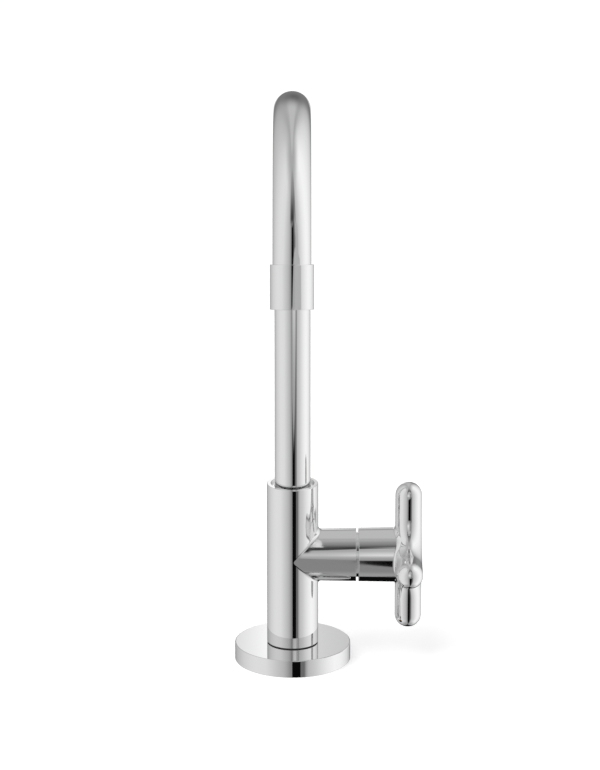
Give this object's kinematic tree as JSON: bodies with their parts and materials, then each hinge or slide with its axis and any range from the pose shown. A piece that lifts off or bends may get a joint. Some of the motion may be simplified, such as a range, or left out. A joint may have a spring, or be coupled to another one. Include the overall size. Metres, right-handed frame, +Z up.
{
  "type": "basin tap",
  "caption": "Deck-mounted tap with a swivelling gooseneck spout and a cross handle on a quarter-turn side valve, on a round flange.",
  "frame": {"origin": "centre of the base flange's underside, on the deck's surface", "axes": "+Z up along the body and the riser; the spout points along -Y; the valve branch and the cross handle point along +X"},
  "size_m": [0.0948, 0.1964, 0.3694],
  "materials": {
    "chrome": "polished",
    "brass": "satin",
    "rubber": "matte",
    "ring_plastic": "satin",
    "jet_plastic": "satin",
    "ceramic": "satin",
    "steel": "satin"
  },
  "bodies": {
    "base": {"base_flange": "chrome", "deck_gasket": "rubber", "foot_seal": "rubber", "tap_body": "chrome", "threaded_shank": "brass", "shank_seal": "rubber", "rubber_washer": "rubber", "steel_washer": "steel", "backnut": "brass", "seat_seal": "rubber", "fixed_disc": "ceramic", "slip_washer": "ring_plastic", "valve_housing": "brass", "valve_gasket": "rubber", "guide_sleeve": "chrome", "thrust_washer": "ring_plastic", "lock_screw": "steel", "guide_ring": "chrome"},
    "spout": {"spout_tube": "chrome", "spout_spigot": "brass", "spout_seals": "rubber", "outlet_sleeve": "chrome", "aerator_washer": "rubber", "aerator_housing": "chrome", "aerator_screen": "steel", "aerator_insert": "jet_plastic"},
    "handle": {"cross_handle": "chrome", "spline_insert": "brass", "handle_screw": "steel", "spindle": "brass", "spindle_seals": "rubber", "spindle_clip": "steel", "turning_disc": "ceramic"}
  },
  "joints": [
    {"name": "spout_swivel", "type": "hinge", "parent": "base", "child": "spout", "pos_m": [0, 0, 0.08], "axis": [0, 0, 1], "continuous": true},
    {"name": "handle_turn", "type": "hinge", "parent": "base", "child": "handle", "pos_m": [0, 0, 0.0557], "axis": [1, 0, 0], "range_deg": [0, 90]}
  ]
}
